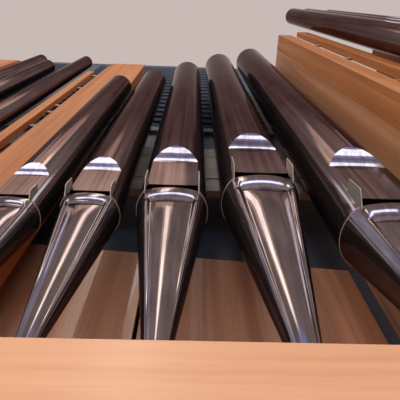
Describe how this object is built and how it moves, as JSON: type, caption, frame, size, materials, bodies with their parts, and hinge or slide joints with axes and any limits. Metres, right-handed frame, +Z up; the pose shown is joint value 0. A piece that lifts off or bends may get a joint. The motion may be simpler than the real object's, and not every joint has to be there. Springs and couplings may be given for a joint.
{
  "type": "pipe organ",
  "caption": "Church pipe organ: open-topped wooden case with corner towers, fronts of tin pipes with arched mouths, and a louvred swell box behind.",
  "frame": {"origin": "middle of the footprint, on the floor", "axes": "+X to the right as seen from the front, +Y from the pipe front towards the back, +Z up"},
  "size_m": [4.416, 1.2, 5.4],
  "materials": {
    "case_wood": "satin varnish over light orange-pink hardwood",
    "brown_wood": "worn satin varnish over reddish-brown boards",
    "louvre_paint": "matt blue-grey paint on board",
    "pipe_metal": "polished tin",
    "bright_metal": "plain metal pegs"
  },
  "bodies": {
    "root": {"plinth": "case_wood", "back_wall": "brown_wood", "end_wall_left": "case_wood", "end_wall_right": "case_wood", "lower_frame": "case_wood", "lower_panels": "case_wood", "tower_base_left": "case_wood", "tower_base_right": "case_wood", "chest_deck": "case_wood", "tower_toe_boards": "case_wood", "front_rail": "case_wood", "tower_rails": "case_wood", "inner_posts": "case_wood", "middle_battens": "case_wood", "middle_spacers": "bright_metal", "tower_posts": "case_wood", "tower_battens": "case_wood", "tower_spacers": "bright_metal", "return_panels": "case_wood", "flat_back_rails": "brown_wood", "middle_back_rail": "brown_wood", "inner_boards": "brown_wood", "swell_sides": "louvre_paint", "swell_back": "louvre_paint", "swell_lower_front": "louvre_paint", "swell_frame": "louvre_paint", "swell_louvres": "louvre_paint", "swell_roof": "louvre_paint", "middle_pipe_centre": "pipe_metal", "middle_pipe_left": "pipe_metal", "middle_pipe_right": "pipe_metal", "flat_pipe_right_1": "pipe_metal", "flat_pipe_right_2": "pipe_metal", "flat_pipe_right_3": "pipe_metal", "flat_pipe_right_4": "pipe_metal", "flat_pipe_right_5": "pipe_metal", "flat_pipe_left_1": "pipe_metal", "flat_pipe_left_2": "pipe_metal", "flat_pipe_left_3": "pipe_metal", "flat_pipe_left_4": "pipe_metal", "flat_pipe_left_5": "pipe_metal", "tower_pipes_right": "pipe_metal", "tower_pipes_left": "pipe_metal"}
  },
  "joints": []
}
